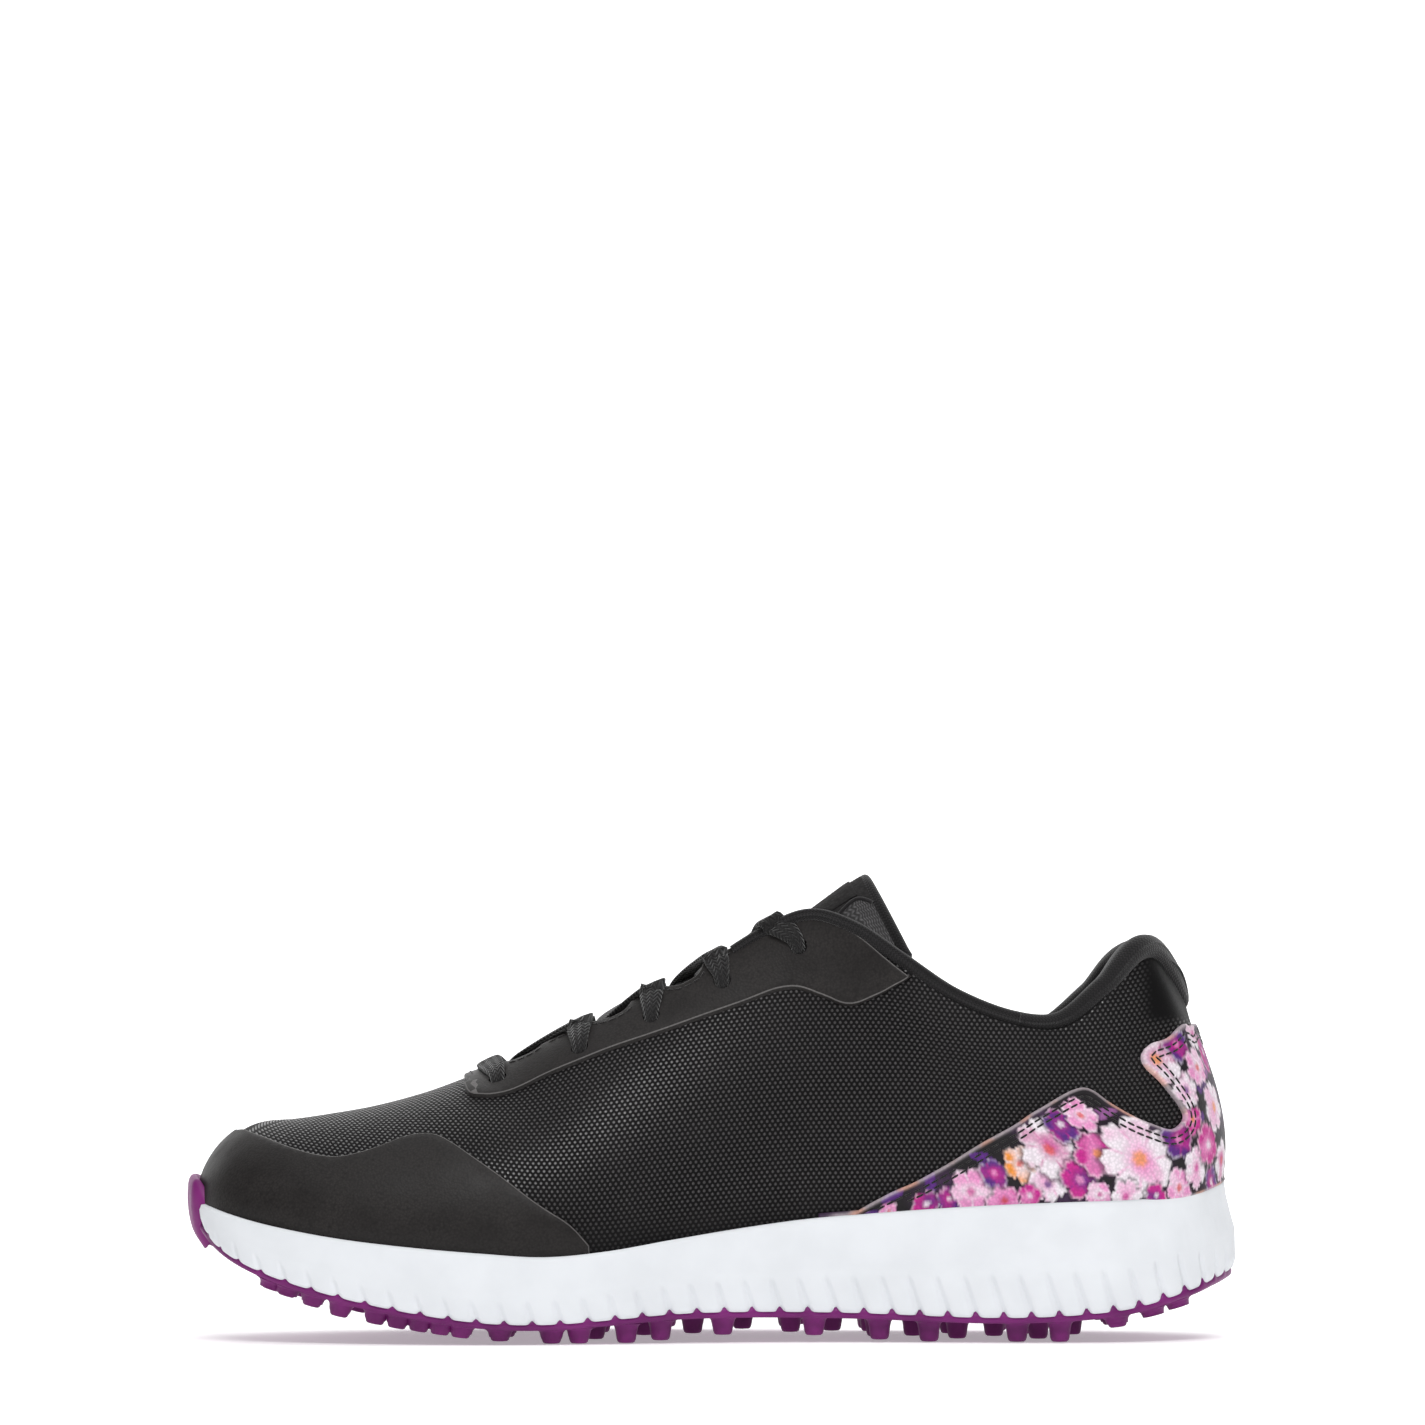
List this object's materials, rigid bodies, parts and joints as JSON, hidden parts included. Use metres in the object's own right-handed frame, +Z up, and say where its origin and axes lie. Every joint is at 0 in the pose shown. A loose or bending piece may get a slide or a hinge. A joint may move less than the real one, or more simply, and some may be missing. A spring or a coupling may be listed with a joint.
{
  "type": "golf shoe",
  "caption": "Low-cut spikeless golf shoe for the right foot with a lugged outsole, cushioned midsole, layered upper, padded collar and a laced, hinged tongue.",
  "frame": {"origin": "middle of the footprint box, on the ground under the lug tips", "axes": "toe points along -X, heel along +X, the inner (medial) side faces -Y, +Z is up"},
  "size_m": [0.275, 0.098, 0.1215],
  "materials": {
    "lug_rubber": "satin moulded rubber",
    "midsole_foam": "matte moulded foam",
    "board": "pressed fibre board",
    "footbed_fabric": "brushed textile over foam",
    "upper_leather": "embossed synthetic leather",
    "overlay_leather": "fine grained matte synthetic leather",
    "floral_leather": "printed synthetic leather, flowers on black",
    "stiffener": "thermoformed sheet",
    "lining_fabric": "knitted lining",
    "padding": "open cell foam",
    "collar_knit": "fine knit over padding",
    "tongue_fabric": "grained textile",
    "lace_weave": "flat woven polyester",
    "aglet_plastic": "clear wrapped plastic tip"
  },
  "bodies": {
    "shoe": {"outsole": "lug_rubber", "midsole": "midsole_foam", "insole_board": "board", "footbed": "footbed_fabric", "upper_shell": "upper_leather", "toe_overlay": "overlay_leather", "eyestay": "overlay_leather", "heel_overlay": "floral_leather", "toe_puff": "stiffener", "heel_counter": "stiffener", "lace_stay_medial": "stiffener", "lace_stay_lateral": "stiffener", "vamp_lining": "lining_fabric", "quarter_lining": "lining_fabric", "collar_foam": "padding", "heel_roll": "collar_knit", "topline_binding_medial": "collar_knit", "topline_binding_lateral": "collar_knit", "lace": "lace_weave", "aglets": "aglet_plastic"},
    "tongue": {"tongue_face": "tongue_fabric", "tongue_foam": "padding", "tongue_lining": "lining_fabric", "tongue_piping": "collar_knit", "tongue_tab": "overlay_leather"}
  },
  "joints": [
    {"name": "tongue_hinge", "type": "hinge", "parent": "shoe", "child": "tongue", "pos_m": [-0.066, 0, 0.061], "axis": [0, 1, 0], "range_deg": [0, 12], "stiffness_Nm_per_rad": 0.3, "springref_deg": -5.73}
  ]
}
